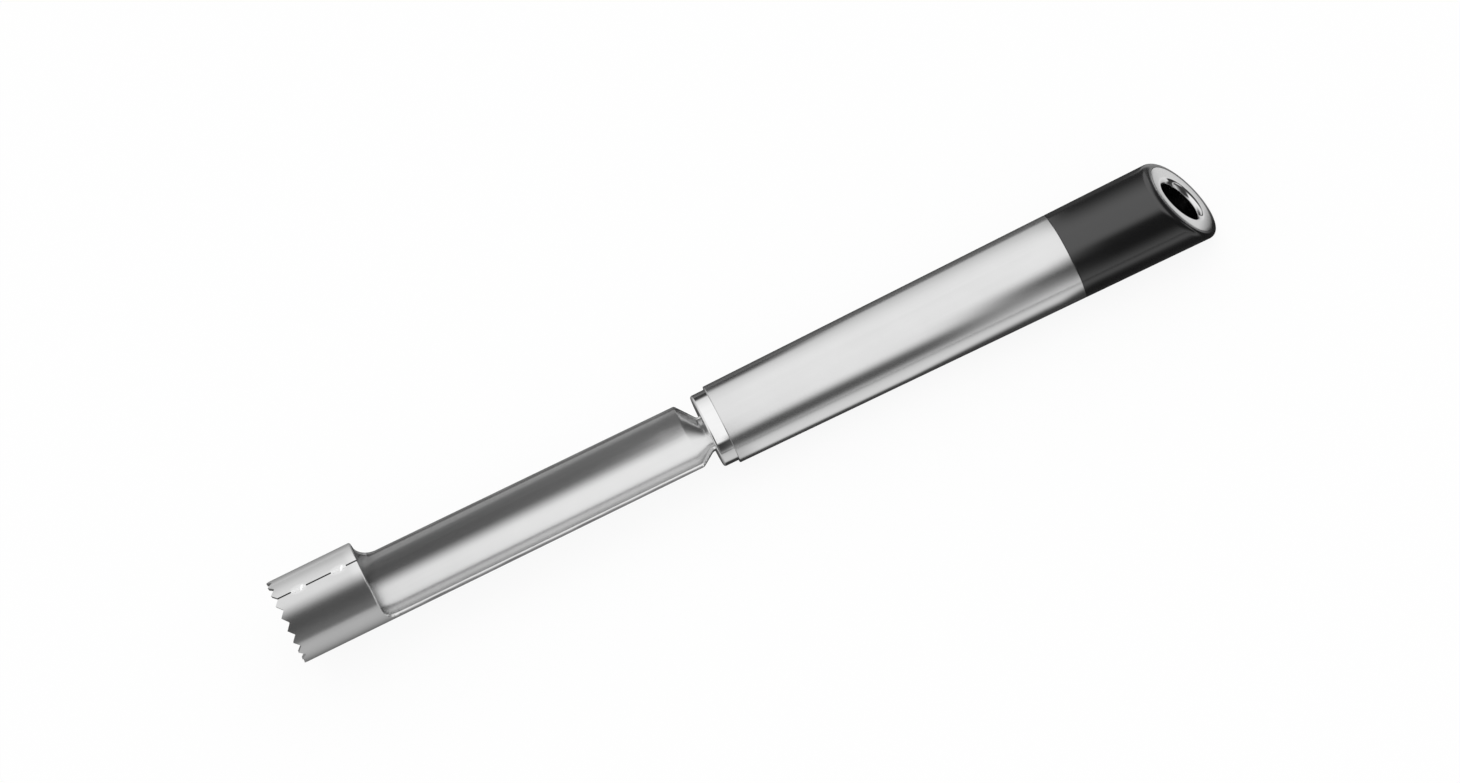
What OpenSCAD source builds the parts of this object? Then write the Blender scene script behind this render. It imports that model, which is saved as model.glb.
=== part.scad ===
// Apple corer: a toothed, rolled steel ring and trough in a satin steel grip with a black end cap.
// X runs from the teeth to the hanging hole, and Z points out of the open side of the trough.
// The origin is on the axis of the coring ring, in the plane of the tooth roots.

/* [Coring ring] */
// Thickness of the blade's steel sheet
sheet = 0.8; // [0.6:0.1:1.2]
// Outside diameter of the ring and the trough
ring_od = 21.6; // [19:0.1:26]
// Length of the closed ring, from the tooth roots to its rear edge
ring_len = 21.2; // [14:0.1:30]
// Number of teeth round the ring
teeth = 20; // [12:1:30]
// Height of a tooth
tooth_h = 1.35; // [0.8:0.05:2]
// Radius at the bottom of the valley between two teeth
tooth_root_r = 0.3; // [0.1:0.05:0.5]
// Width of the open seam along the top of the ring
seam_gap = 0.2; // [0.1:0.05:0.4]
// Length of one weld in the seam
weld_len = 4; // [2:0.1:5]
// Width of one weld in the seam
weld_w = 1; // [0.6:0.1:1.6]
// Distance of the first weld's middle from the tooth roots
weld_front = 5.5; // [4:0.1:6]
// Distance of the second weld's middle from the ring's rear edge
weld_rear = 5; // [3:0.1:6]

/* [Trough and neck] */
// Length of the open trough, from the ring to the shoulder
trough_len = 85.5; // [50:0.5:110]
// Depth of the trough's rim below the ring's axis, next to the ring
rim_front = 3.6; // [1:0.1:5]
// Depth of the trough's rim below the ring's axis, next to the shoulder
rim_rear = 4.2; // [1:0.1:5.5]
// Radius of the corner between the ring's rear edge and the rim
rim_fillet = 4.4; // [2:0.1:6]
// Length of the shoulder, where the trough draws in to the neck
shoulder_len = 4.4; // [3:0.1:10]
// Outside radius of the neck's channel
neck_r = 5.5; // [5:0.1:7]
// Depth of the neck's rim below the ring's axis
neck_rim = 6.3; // [5.8:0.1:8]
// Length of the neck in front of the collar
neck_len = 0.4; // [0.2:0.1:8]
// Length of the tang inside the collar and the holder
tang_len = 38; // [26:0.5:50]

/* [Grip] */
// Depth of the grip's axis below the ring's axis
grip_drop = 5.9; // [5:0.1:6.6]
// Width of the steel shell at its front edge
grip_w_front = 22.2; // [21:0.1:26]
// Width of the steel shell at its rear edge
grip_w_rear = 24.4; // [21:0.1:30]
// Height of the grip's oval section, as a share of its width
oval_ratio = 0.77; // [0.72:0.01:1]
// Length of the steel shell
shell_len = 94.3; // [70:0.1:130]
// Wall of the steel shell
shell_wall = 0.7; // [0.5:0.1:1]
// Length of the collar in front of the shell
collar_proud = 3.95; // [2:0.05:8]
// Length of the collar inside the shell
collar_seat = 8; // [4:0.5:14]
// Radius of the collar's front edge
collar_edge_r = 0.6; // [0.2:0.1:1.2]
// Radius of the cross pin through the tang
pin_r = 1.5; // [1:0.1:2]
// Distance of the cross pin from the rear end of the tang
pin_inset = 9; // [5:0.5:14]
// Depth of the cross pin's ends under the shell's bore
pin_cover = 1.2; // [0.5:0.1:3]
// Length of the holder behind the end of the tang
holder_tail = 6; // [3:0.5:12]
// Length of each of the two lands that seat the holder in the shell
holder_land = 6; // [3:0.5:9]
// Depth of the waist between the holder's lands
holder_waist = 1.2; // [0.4:0.1:2]

/* [End cap] */
// Length of the cap along the grip's axis, from the shell to the middle of its slanted face
cap_len = 32.2; // [30:0.1:50]
// Angle of the cap's end face away from square
face_slant = 34.5; // [31:0.5:38]
// Radius of the edge round the end face
cap_edge_r = 1.3; // [0.6:0.1:1.6]
// Length of the spigot inside the shell
spigot_len = 12; // [8:0.5:20]
// Width of each of the two glue grooves round the spigot
groove_w = 1.2; // [0.6:0.1:2]
// Depth of the glue grooves
groove_d = 0.5; // [0.3:0.1:1]

/* [Eyelet] */
// Width of the eyelet's oval flange, across the grip
eyelet_w = 21.5; // [19:0.1:21.8]
// Height of the eyelet's oval flange, along the slant
eyelet_h = 19.3; // [17.4:0.1:19.5]
// Thickness of the eyelet's steel
eyelet_wall = 0.6; // [0.4:0.1:0.8]
// Radius of the rolled lip
lip_r = 1.45; // [1:0.05:1.8]
// Radius of the hanging hole
hang_r = 6; // [4:0.1:6.4]
// Length of the eyelet's tube behind the lip
eyelet_tube = 2.5; // [1:0.1:5]

/* [Fits] */
// Gap between the blade and what holds it
blade_fit = 0.05; // [0.02:0.01:0.1]
// Gap between the shell's bore and what is pressed into it
shell_fit = 0.03; // [0.02:0.01:0.1]
// Gap between the eyelet and its seat in the cap
eyelet_fit = 0.03; // [0.02:0.01:0.1]

/* [Hidden] */
$fn = 96;
OVER = 1;
ring_r = ring_od / 2;
trough_x = ring_len + trough_len;
neck_x = trough_x + shoulder_len;
collar_x = neck_x + neck_len;
tang_x = collar_x + tang_len;
shell_x = collar_x + collar_proud;
seat_x = shell_x + collar_seat;
cap_x = shell_x + shell_len;
face_x = cap_x + cap_len;
pin_x = tang_x - pin_inset;
weld_xs = [weld_front, ring_len - weld_rear];

// Shares of the shoulder over which it eases in and out, and how finely it is drawn
SHOULDER_EASE = 0.15;
SHOULDER_STEPS = 12;
ARC_STEPS = 24;
// How far the shoulder's ends reach into the sheet before and behind it, and lie under its skin
TUCK = 0.5;
TUCK_SKIN = 0.02;
// Step between the flange's recess and the top of the curve under the lip
LIP_STEP = 0.02;
OVAL_STEPS = 64;
EDGE_STEPS = 5;

// Half the grip's width at a place along X, less an inset from its skin.
function half_w(x, inset = 0) =
    (grip_w_front + (grip_w_rear - grip_w_front) * (x - shell_x) / shell_len) / 2 - inset;

// Oval section of the grip at a place along X, inset from its skin, with the middle of a flat at its
// bottom. A lean tilts it like the end face.
function oval_ring(x, inset = 0, lean = 0) =
    let (flare = (grip_w_rear - grip_w_front) / shell_len / 2)
    [
        for (i = [0 : OVAL_STEPS - 1])
            let (
                a = (i + 0.5) * 360 / OVAL_STEPS,
                z = (half_w(x) * oval_ratio - inset) * sin(a)
                    / (1 + flare * oval_ratio * tan(lean) * sin(a)),
                at = x - z * tan(lean)
            )
            [at, half_w(at, inset) * cos(a), z - grip_drop]
    ];

// Tube along X, with the middle of a flat at its bottom.
module tube_x(r, wall, x0, x1)
    translate([x0, 0, 0])
    rotate([0, 90, 0])
    rotate([0, 0, 180 / $fn])
    difference() {
        cylinder(r = r, h = x1 - x0);
        translate([0, 0, -OVER]) cylinder(r = r - wall, h = x1 - x0 + 2 * OVER);
    }

// Skin through a row of rings that have the same number of points. It is closed by its two end faces,
// or, as a loop, by joining the last ring to the first.
module skin(rings, loop = false) {
    n = len(rings[0]);
    last = len(rings) - 1;
    polyhedron(
        points = [for (ring = rings) each ring],
        faces = [
            if (!loop)
                for (i = [0 : n / 2 - 2])
                    each [
                        [i, i + 1, n - 2 - i, n - 1 - i],
                        [for (k = [n - 1 - i, n - 2 - i, i + 1, i]) last * n + k]
                    ],
            for (j = [0 : loop ? last : last - 1], i = [0 : n - 1])
                let (a = j * n, b = (j + 1) % (last + 1) * n, k = (i + 1) % n)
                each [[a + i, b + i, b + k], [a + i, b + k, a + k]]
        ]);
}

// Valley between two teeth, seen flat: straight sides and a round root that touches the line x = 0.
module tooth_valley() {
    half = PI * ring_r / teeth;
    steep = atan2(half, tooth_h);
    side = atan2(half, tooth_h + tooth_root_r * (1 / sin(steep) - 1));
    apex = tooth_root_r * (1 / sin(side) - 1);
    mouth = -tooth_h - OVER;
    touch = [tooth_root_r * (sin(side) - 1), tooth_root_r * cos(side)];
    polygon([
        [mouth, (apex - mouth) * tan(side)], touch,
        [touch.x, -touch.y], [mouth, -(apex - mouth) * tan(side)]
    ]);
    translate([-tooth_root_r, 0]) circle(r = tooth_root_r);
}

// Ring and trough before the seam is opened: one tube whose top is cut away behind the ring.
module ring_and_trough() {
    rim_front_z = -rim_front;
    rim_rear_z = -rim_rear;
    difference() {
        tube_x(ring_r, sheet, -tooth_h, trough_x);
        rotate([90, 0, 0])
            linear_extrude(2 * (ring_r + OVER), center = true)
            difference() {
                polygon([
                    [ring_len, ring_r + OVER], [ring_len, rim_front_z],
                    [trough_x + OVER, rim_rear_z], [trough_x + OVER, ring_r + OVER]
                ]);
                difference() {
                    translate([ring_len - OVER, rim_front_z - OVER])
                        square(rim_fillet + OVER);
                    translate([ring_len + rim_fillet, rim_front_z + rim_fillet])
                        circle(r = rim_fillet);
                }
            }
        for (i = [0 : teeth - 1])
            rotate([i * 360 / teeth, 0, 0])
            translate([0, 0, ring_r - sheet - OVER])
            linear_extrude(sheet + 2 * OVER)
            tooth_valley();
    }
}

// Block over the seam, from x0 to x1, that takes in the sheet's whole thickness.
module seam_block(x0, x1, width)
    translate([x0, -width / 2, ring_r - sheet - OVER])
    cube([x1 - x0, width, sheet + 2 * OVER]);

// Share of the shoulder's narrowing that is reached at t, from 0 to 1: straight, with eased ends.
function eased(t, b = SHOULDER_EASE) =
    t < b ? t * t / (2 * b * (1 - b))
    : t > 1 - b ? 1 - (1 - t) * (1 - t) / (2 * b * (1 - b))
    : (t - b / 2) / (1 - b);

function blend(a, b, share) = a + (b - a) * share;

// Section of the shoulder at t. The channel's bottom stays in line while its radius shrinks, and the
// sheet is as thick across its slope as anywhere else.
function shoulder_ring(x, t) =
    let (
        share = eased(t),
        slope = (ring_r - neck_r) / shoulder_len
            * (eased(min(t + 0.01, 1)) - eased(max(t - 0.01, 0))) / 0.02,
        r = blend(ring_r, neck_r, share),
        mid = r - ring_r,
        rim = -blend(rim_rear, neck_rim, share) - TUCK_SKIN,
        wall_at = function (a) sheet * sqrt(1 + pow(slope * (1 - cos(a)), 2)) - TUCK_SKIN,
        outer_end = acos((mid - rim) / (r - TUCK_SKIN)),
        inner_r = r - wall_at(outer_end),
        inner_end = acos((mid - rim) / inner_r)
    )
    [
        for (i = [0 : ARC_STEPS])
            let (a = blend(-outer_end, outer_end, i / ARC_STEPS), s = r - TUCK_SKIN)
            [x, s * sin(a), mid - s * cos(a)],
        for (i = [0 : ARC_STEPS])
            let (a = blend(inner_end, -inner_end, i / ARC_STEPS), s = r - wall_at(a))
            [x, s * sin(a), mid - s * cos(a)]
    ];

module shoulder()
    skin([
        shoulder_ring(trough_x - TUCK, 0),
        for (i = [0 : SHOULDER_STEPS])
            shoulder_ring(trough_x + shoulder_len * i / SHOULDER_STEPS, i / SHOULDER_STEPS),
        shoulder_ring(neck_x + TUCK, 1)
    ]);

// Channel of the neck and tang. A gap makes it the slot that the channel fits.
module neck_channel(x0, x1, gap = 0)
    difference() {
        translate([0, 0, neck_r - ring_r])
            tube_x(neck_r + gap, sheet + 2 * gap, x0, x1);
        translate([x0 - OVER, -neck_r - OVER, gap - neck_rim])
            cube([x1 - x0 + 2 * OVER, 2 * (neck_r + OVER), 2 * neck_r]);
    }

// Upright hole or pin through the bottom of the tang.
module cross_pin(r, reach)
    translate([pin_x, 0, -grip_drop])
    cylinder(r = r, h = 2 * reach, center = true);

// Puts what is drawn on the cap's slanted face, with +Z out of the face.
module on_face()
    translate([face_x, 0, -grip_drop])
    rotate([0, 90 - face_slant, 0])
    children();

// Oval of the eyelet's flange, grown by a gap, from its underside up to the face and a rise past it.
module flange_oval(gap = 0, rise = 0)
    translate([0, 0, -eyelet_wall - gap])
    linear_extrude(eyelet_wall + gap + rise)
    polygon([
        for (i = [0 : OVAL_STEPS - 1])
            let (a = i * 360 / OVAL_STEPS)
            [(eyelet_h / 2 + gap) * cos(a), (eyelet_w / 2 + gap) * sin(a)]
    ]);

module corer_blade() color([0.74, 0.75, 0.76]) {
    difference() {
        ring_and_trough();
        seam_block(-tooth_h - OVER, ring_len + OVER, seam_gap);
        for (x = weld_xs) seam_block(x - weld_len / 2, x + weld_len / 2, weld_w);
    }
    shoulder();
    difference() {
        neck_channel(neck_x, tang_x);
        cross_pin(pin_r + blade_fit, ring_r);
    }
}

module seam_welds() color([0.80, 0.81, 0.82])
    for (x = weld_xs)
        intersection() {
            tube_x(ring_r, sheet, x - weld_len / 2, x + weld_len / 2);
            seam_block(x - weld_len / 2, x + weld_len / 2, weld_w);
        }

module front_collar() color([0.86, 0.87, 0.88])
    difference() {
        inset = shell_wall + shell_fit;
        skin([
            for (i = [EDGE_STEPS : -1 : 0])
                let (a = i * 90 / EDGE_STEPS)
                oval_ring(collar_x + collar_edge_r * (1 - sin(a)), inset + collar_edge_r * (1 - cos(a))),
            oval_ring(seat_x, inset)
        ]);
        neck_channel(collar_x - OVER, seat_x + OVER, blade_fit);
    }

module grip_shell() color([0.78, 0.79, 0.80])
    skin([
        oval_ring(shell_x), oval_ring(cap_x),
        oval_ring(cap_x, shell_wall), oval_ring(shell_x, shell_wall)
    ], loop = true);

// Moulded insert: two lands that seat in the shell, a waist between them and a slot for the tang.
module tang_holder() color([0.16, 0.16, 0.17])
    difference() {
        inset = shell_wall + shell_fit;
        x0 = seat_x + holder_land;
        x1 = tang_x + holder_tail - holder_land;
        skin([
            oval_ring(seat_x, inset), oval_ring(x0, inset),
            oval_ring(x0, inset + holder_waist), oval_ring(x1, inset + holder_waist),
            oval_ring(x1, inset), oval_ring(x1 + holder_land, inset)
        ]);
        neck_channel(seat_x - OVER, tang_x + blade_fit, blade_fit);
        cross_pin(pin_r + blade_fit, grip_w_rear);
    }

module tang_pin() color([0.62, 0.63, 0.65])
    cross_pin(pin_r, half_w(pin_x, 0) * oval_ratio - shell_wall - pin_cover);

// Black cap: a grooved spigot inside the shell, and an oval body with a rounded edge round its face.
module end_cap() color([0.13, 0.13, 0.14])
    difference() {
        inset = shell_wall + shell_fit;
        skin([
            oval_ring(cap_x - spigot_len, inset),
            for (x = [cap_x - spigot_len * 2 / 3, cap_x - spigot_len / 3])
                each [
                    oval_ring(x - groove_w / 2, inset), oval_ring(x - groove_w / 2, inset + groove_d),
                    oval_ring(x + groove_w / 2, inset + groove_d), oval_ring(x + groove_w / 2, inset)
                ],
            oval_ring(cap_x, inset), oval_ring(cap_x),
            for (i = [0 : EDGE_STEPS])
                let (a = i * 90 / EDGE_STEPS, depth = cap_edge_r * (1 - sin(a)))
                oval_ring(face_x - depth / cos(face_slant), cap_edge_r * (1 - cos(a)), face_slant)
        ]);
        on_face() {
            flange_oval(eyelet_fit, OVER);
            rotate_extrude() eyelet_seat();
            translate([0, 0, -2 * cap_len]) cylinder(r = hang_r, h = 2 * cap_len + OVER);
        }
    }

// Outline that the cap is cut to under the eyelet's lip and tube.
module eyelet_seat() {
    depth = lip_r + eyelet_tube + eyelet_fit;
    translate([0, -depth]) square([hang_r + eyelet_wall + eyelet_fit, depth + OVER]);
    difference() {
        translate([0, -lip_r]) square([hang_r + lip_r, lip_r + OVER]);
        translate([hang_r + lip_r, -lip_r]) circle(r = lip_r - eyelet_wall - eyelet_fit - LIP_STEP);
    }
}

module hang_eyelet() color([0.84, 0.85, 0.86])
    on_face() {
        difference() {
            flange_oval();
            translate([0, 0, -eyelet_wall - OVER])
                cylinder(r = hang_r + lip_r, h = eyelet_wall + 2 * OVER);
        }
        rotate_extrude() {
            intersection() {
                translate([hang_r + lip_r, -lip_r])
                    difference() {
                        circle(r = lip_r);
                        circle(r = lip_r - eyelet_wall);
                    }
                translate([hang_r, -lip_r]) square(lip_r);
            }
            translate([hang_r, -lip_r - eyelet_tube]) square([eyelet_wall, eyelet_tube]);
        }
    }

corer_blade();
seam_welds();
front_collar();
grip_shell();
tang_holder();
tang_pin();
end_cap();
hang_eyelet();
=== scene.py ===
"""Looks of the apple corer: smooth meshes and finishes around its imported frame, and the photo's view."""

from collections import namedtuple
from functools import partial, partialmethod
from math import acos, asin, copysign, cos, degrees, pi, radians, sin, sqrt, tan

import bmesh
import bpy
from mathutils import Matrix, Vector


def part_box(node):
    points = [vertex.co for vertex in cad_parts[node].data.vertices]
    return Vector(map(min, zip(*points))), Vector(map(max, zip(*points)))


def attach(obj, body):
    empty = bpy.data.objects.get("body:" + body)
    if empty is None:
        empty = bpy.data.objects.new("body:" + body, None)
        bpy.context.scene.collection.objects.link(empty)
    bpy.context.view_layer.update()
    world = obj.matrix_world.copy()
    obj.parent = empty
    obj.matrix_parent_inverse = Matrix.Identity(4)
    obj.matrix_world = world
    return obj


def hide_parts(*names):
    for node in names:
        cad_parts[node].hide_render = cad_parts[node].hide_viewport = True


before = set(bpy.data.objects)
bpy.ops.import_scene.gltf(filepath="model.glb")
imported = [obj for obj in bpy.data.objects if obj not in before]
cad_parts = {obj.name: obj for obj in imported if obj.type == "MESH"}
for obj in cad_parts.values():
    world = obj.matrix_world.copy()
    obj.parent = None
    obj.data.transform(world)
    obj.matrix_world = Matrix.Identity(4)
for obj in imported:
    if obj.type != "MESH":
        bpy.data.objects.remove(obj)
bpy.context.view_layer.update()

BODY = "root"
MM = 0.001
SHARP = radians(35)
POLISHED = 0.07

BLADE_LOW, BLADE_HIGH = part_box("corer_blade")
COLLAR_LOW, COLLAR_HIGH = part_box("front_collar")
SHELL_LOW, SHELL_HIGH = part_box("grip_shell")
CAP_LOW, CAP_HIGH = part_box("end_cap")

bl_info = {
    "name": "Apple corer",
    "version": (1, 0, 0),
    "blender": (4, 5, 0),
    "location": "3D View > Sidebar > Corer",
    "description": "Builds the corer's blade, grip, cap and eyelet, and the studio round them",
    "category": "Object",
}


def number(name, about, value, **more):
    """Property for a number."""
    return bpy.props.FloatProperty(name=name, description=about, default=value, **more)


def length(name, about, millimetres):
    """Property for a length of the tool."""
    return number(name, about, millimetres * MM, min=0, precision=5, unit="LENGTH")


def share(name, about, value, high=1):
    """Property for a plain number from 0 up."""
    return number(name, about, value, min=0, max=high)


def angle(name, about, degrees):
    """Property for an angle."""
    return number(name, about, radians(degrees), unit="ROTATION")


def colour(name, about, value):
    """Property for a colour."""
    return bpy.props.FloatVectorProperty(
        name=name, description=about, default=value, min=0, max=1, subtype="COLOR", size=3
    )


class BladeSizes(bpy.types.PropertyGroup):
    sheet: length("Sheet", "Thickness of the steel sheet", 0.8)
    ring_r: length("Ring radius", "Outside radius of the ring and the trough", 10.799)
    ring_len: length("Ring length", "From the tooth roots to the ring's rear edge", 21.2)
    tooth_h: length("Tooth height", "Height of a tooth", -BLADE_LOW.x / MM)
    tooth_root_r: length("Tooth root", "Radius at the bottom of a valley", 0.3)
    tooth_band: length("Tooth band", "Length over which the mesh follows the teeth", 2.4)
    teeth: bpy.props.IntProperty(name="Teeth", description="Teeth round the ring", default=20, min=3)
    seam_gap: length("Seam gap", "Width of the open seam along the ring's top", 0.2)
    weld_len: length("Weld length", "Length of one weld in the seam", 4)
    weld_w: length("Weld width", "Width of one weld in the seam", 1)
    weld_front: length("Front weld", "From the tooth roots to the first weld's middle", 5.5)
    weld_rear: length("Rear weld", "From the second weld's middle to the ring's rear edge", 5)
    weld_crown: length("Weld crown", "How far a weld's middle is ground below the ring's skin", 0.02)
    trough_len: length("Trough length", "From the ring to the shoulder", 85.5)
    rim_front: length("Front rim", "Depth of the rim below the ring's axis, next to the ring", 3.6)
    rim_rear: length("Rear rim", "Depth of the rim below the ring's axis, next to the shoulder", 4.2)
    rim_fillet: length("Rim fillet", "Radius between the ring's rear edge and the rim", 4.4)
    shoulder_len: length("Shoulder length", "Where the trough draws in to the neck", 4.4)
    neck_r: length("Neck radius", "Outside radius of the neck's channel", 5.5)
    neck_rim: length("Neck rim", "Depth of the neck's rim below the ring's axis", 6.3)
    tang_end: length("Tang end", "Rear end of the tang", BLADE_HIGH.x / MM)
    rear_round: length("Rear edge", "Rounding along the ring's rear edge", 0.5)
    rim_round: length("Rim round", "Rounding along the trough's rims", 0.07)


class GripSizes(bpy.types.PropertyGroup):
    drop: length(
        "Drop", "Depth of the grip's axis below the ring's axis", -(SHELL_LOW.z + SHELL_HIGH.z) / 2 / MM
    )
    front_x: length("Front", "Front edge of the steel shell", SHELL_LOW.x / MM)
    rear_x: length("Rear", "Rear edge of the steel shell", SHELL_HIGH.x / MM)
    half_front: length("Front half width", "Half the shell's width at its front edge", 11.1)
    half_rear: length("Rear half width", "Half the shell's width at its rear edge", SHELL_HIGH.y / MM)
    flat: share("Flatness", "Height of the oval section, as a share of its width", 0.77)
    wall: length("Wall", "Wall of the steel shell", 0.7)
    fit: length("Fit", "Gap between the shell's bore and what is pressed into it", 0.03)
    edge_round: length("Edge round", "Rounding along the shell's two edges", 0.22)
    collar_x: length("Collar front", "Front face of the collar", COLLAR_LOW.x / MM)
    collar_end: length("Collar end", "Rear face of the collar", COLLAR_HIGH.x / MM)
    collar_edge_r: length("Collar edge", "Radius of the collar's front edge", 0.6)
    blade_fit: length("Blade fit", "Gap between the blade and the collar's slot", 0.05)


class CapSizes(bpy.types.PropertyGroup):
    front_x: length("Spigot front", "Front end of the cap's spigot", CAP_LOW.x / MM)
    length: length("Length", "From the shell to the middle of the slanted face", 32.19)
    slant: angle("Slant", "Angle of the end face away from square", 34.5)
    edge_r: length("Edge", "Radius of the edge round the end face", 1.3)
    parting_round: length("Parting edge", "Rounding where the cap meets the shell", 0.12)
    groove_w: length("Groove width", "Width of each glue groove round the spigot", 1.2)
    groove_d: length("Groove depth", "Depth of the glue grooves", 0.5)


class EyeletSizes(bpy.types.PropertyGroup):
    half_w: length("Half width", "Half the flange's width, across the grip", 10.75)
    half_h: length("Half height", "Half the flange's height, along the slant", 9.65)
    wall: length("Wall", "Thickness of the eyelet's steel", 0.6)
    lip_r: length("Lip radius", "Radius of the rolled lip", 1.45)
    hole_r: length("Hole radius", "Radius of the hanging hole", 6)
    tube: length("Tube", "Length of the tube behind the lip", 2.5)
    fit: length("Fit", "Gap between the eyelet and its seat in the cap", 0.03)
    edge_round: length("Edge round", "Rounding of the flange's outer edge", 0.15)


class Finishes(bpy.types.PropertyGroup):
    blade: colour("Blade", "Polished steel of the blade", (0.64, 0.64, 0.64))
    weld: colour("Weld", "Ground welds in the seam", (0.68, 0.68, 0.68))
    collar: colour("Collar", "Mirror polish of the collar", (0.73, 0.73, 0.73))
    shell: colour("Shell", "Satin steel of the shell", (0.61, 0.61, 0.61))
    eyelet: colour("Eyelet", "Satin flange and polished lip", (0.64, 0.64, 0.64))
    pin: colour("Pin", "Drawn steel of the cross pin", (0.55, 0.55, 0.56))
    cap: colour("Cap", "Black plastic of the cap", (0.0045, 0.0045, 0.0047))
    holder: colour("Holder", "Dark plastic of the tang's holder", (0.035, 0.035, 0.037))


class StudioSettings(bpy.types.PropertyGroup):
    aim_x: length("Aim along", "Place along the tool that the picture's middle shows", 120.73)
    aim_up: length("Aim across", "How far above the ring's axis the picture's middle lies", 3.03)
    foot_x: length("Camera foot", "Place along the tool that the camera faces squarely", 61)
    distance: length("Distance", "From the camera to the tool", 1300)
    view_width: length("View width", "Width that the picture takes in at the tool", 356.97)
    elevation: angle("Elevation", "Height of the camera above the tool's side", 55.7)
    roll: angle("Roll", "Turn of the tool in the picture", 26.11)
    sky: share("Sky", "Strength of the even light on the floor and the plastics", 1.0, high=3)
    shadow: share("Shadow", "How strongly the floor shows the tool's shadow", 0.1)
    light: share("Light", "Strength of the tent's light in the steel", 1.25, high=3)
    gap_low: angle("Gap, lower edge", "Camera gap in the tent: angle of its lower edge", -54)
    gap_high: angle("Gap, upper edge", "Camera gap in the tent: angle of its upper edge", -19)
    card_r: length("Card radius", "From the ring's axis to the dark cards", 120)


def sizes(kind):
    """The named group of sizes in this scene."""
    return getattr(bpy.context.scene, "corer_" + kind)


# Node trees


class Value:
    """A number in a node tree. Arithmetic on it adds Math nodes."""

    def __init__(self, tree, socket):
        self.tree = tree
        self.socket = socket

    def math(self, operation, *others):
        """A Math node on this number and others."""
        return self.tree.node("ShaderNodeMath", [self, *others], operation=operation)

    def turned(self, operation, first):
        """A Math node on another number and this one."""
        return self.tree.node("ShaderNodeMath", [first, self], operation=operation)

    __add__ = __radd__ = partialmethod(math, "ADD")
    __mul__ = __rmul__ = partialmethod(math, "MULTIPLY")
    __sub__ = partialmethod(math, "SUBTRACT")
    __rsub__ = partialmethod(turned, "SUBTRACT")
    __truediv__ = partialmethod(math, "DIVIDE")
    __rtruediv__ = partialmethod(turned, "DIVIDE")
    __pow__ = partialmethod(math, "POWER")
    __lt__ = partialmethod(math, "LESS_THAN")
    __gt__ = partialmethod(math, "GREATER_THAN")
    __abs__ = partialmethod(math, "ABSOLUTE")


class Tree:
    """A node tree that is written as expressions."""

    def __init__(self, node_tree):
        self.node_tree = node_tree

    def node(self, kind, inputs=(), output=0, **settings):
        """Adds a node: its settings first, then its inputs, by place or by name."""
        made = self.node_tree.nodes.new(kind)
        for name, value in settings.items():
            setattr(made, name, value)
        named = inputs.items() if isinstance(inputs, dict) else enumerate(inputs)
        for name, value in named:
            if isinstance(value, Value):
                self.node_tree.links.new(value.socket, made.inputs[name])
            else:
                made.inputs[name].default_value = value
        return Value(self, made.outputs[output]) if len(made.outputs) else made

    def parts(self, vector):
        """The three numbers of a vector."""
        split = self.node("ShaderNodeSeparateXYZ", [vector])
        return [Value(self, socket) for socket in split.socket.node.outputs]

    def choose(self, mask, if_set, otherwise):
        """if_set where the mask is 1, otherwise where it is 0."""
        return otherwise + mask * (if_set - otherwise)

    def place(self, scale=(1, 1, 1)):
        """Object coordinates, stretched by a scale."""
        here = self.node("ShaderNodeTexCoord", output="Object")
        return self.node("ShaderNodeMapping", {"Vector": here, "Scale": scale})

    def noise(self, scale, detail, stretch=(1, 1, 1)):
        """Noise from 0 to 1, with its grains drawn out by a stretch."""
        return self.node(
            "ShaderNodeTexNoise",
            {"Vector": self.place(stretch), "Scale": scale, "Detail": detail, "Roughness": 0.55},
        )

    def show(self, shader, output="ShaderNodeOutputMaterial"):
        """Puts a shader on the surface of the material or the world."""
        self.node(output, {"Surface": shader})


def ramp(value, low, high):
    """Share from 0 to 1 of the way between two values."""
    return ((value - low) / (high - low)).math("MAXIMUM", 0).math("MINIMUM", 1)


def new_material(name):
    """An empty material and its tree."""
    material = bpy.data.materials.new(name)
    material.use_nodes = True
    material.node_tree.nodes.clear()
    return material, Tree(material.node_tree)


# How much of the steel's height is streaks, and how far its wave and streaks vary its tone
STREAK_SHARE, WAVE_TONE, STREAK_TONE = 0.6, 0.08, 0.06


def steel(name, tint, roughness, streak, grain, depth, wave=0.0, marks=None, polish=None):
    """Steel with streaks along X, fine grain and a slow wave. Marks change its tone, a polish its gloss."""
    material, tree = new_material(name)
    lines = tree.noise(scale=60, detail=3, stretch=(0.25, 14, 14))
    cloud = tree.noise(scale=90, detail=2)
    fine = tree.noise(scale=2600, detail=1, stretch=(0.2, 1, 1))
    rough = roughness + (lines - 0.5) * streak + (fine - 0.5) * grain
    if polish:
        rough = tree.choose(polish(tree), POLISHED, rough)
    height = (lines * STREAK_SHARE + fine * (1 - STREAK_SHARE)) * depth + cloud * wave
    bump = tree.node("ShaderNodeBump", {"Strength": 1.0, "Distance": 1.0, "Height": height})
    tone = 1 + (cloud - 0.5) * WAVE_TONE + (lines - 0.5) * STREAK_TONE
    if marks:
        tone = marks(tree, tone)
    shader = tree.node(
        "ShaderNodeBsdfPrincipled",
        {"Base Color": tint_by(tree, tint, tone), "Roughness": rough, "Metallic": 1.0, "Normal": bump},
    )
    tree.show(shader)
    return material


def tint_by(tree, tint, tone):
    """A colour made lighter or darker by a varying number."""
    return tree.node(
        "ShaderNodeVectorMath", [tuple(tint), tree.node("ShaderNodeCombineXYZ", [tone, tone, tone])],
        operation="MULTIPLY",
    )


# How far the plastic's noises vary its tone and its roughness
CLOUD_TONE, CLOUD_ROUGH, PORE_ROUGH = 0.3, 0.06, 0.05


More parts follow.
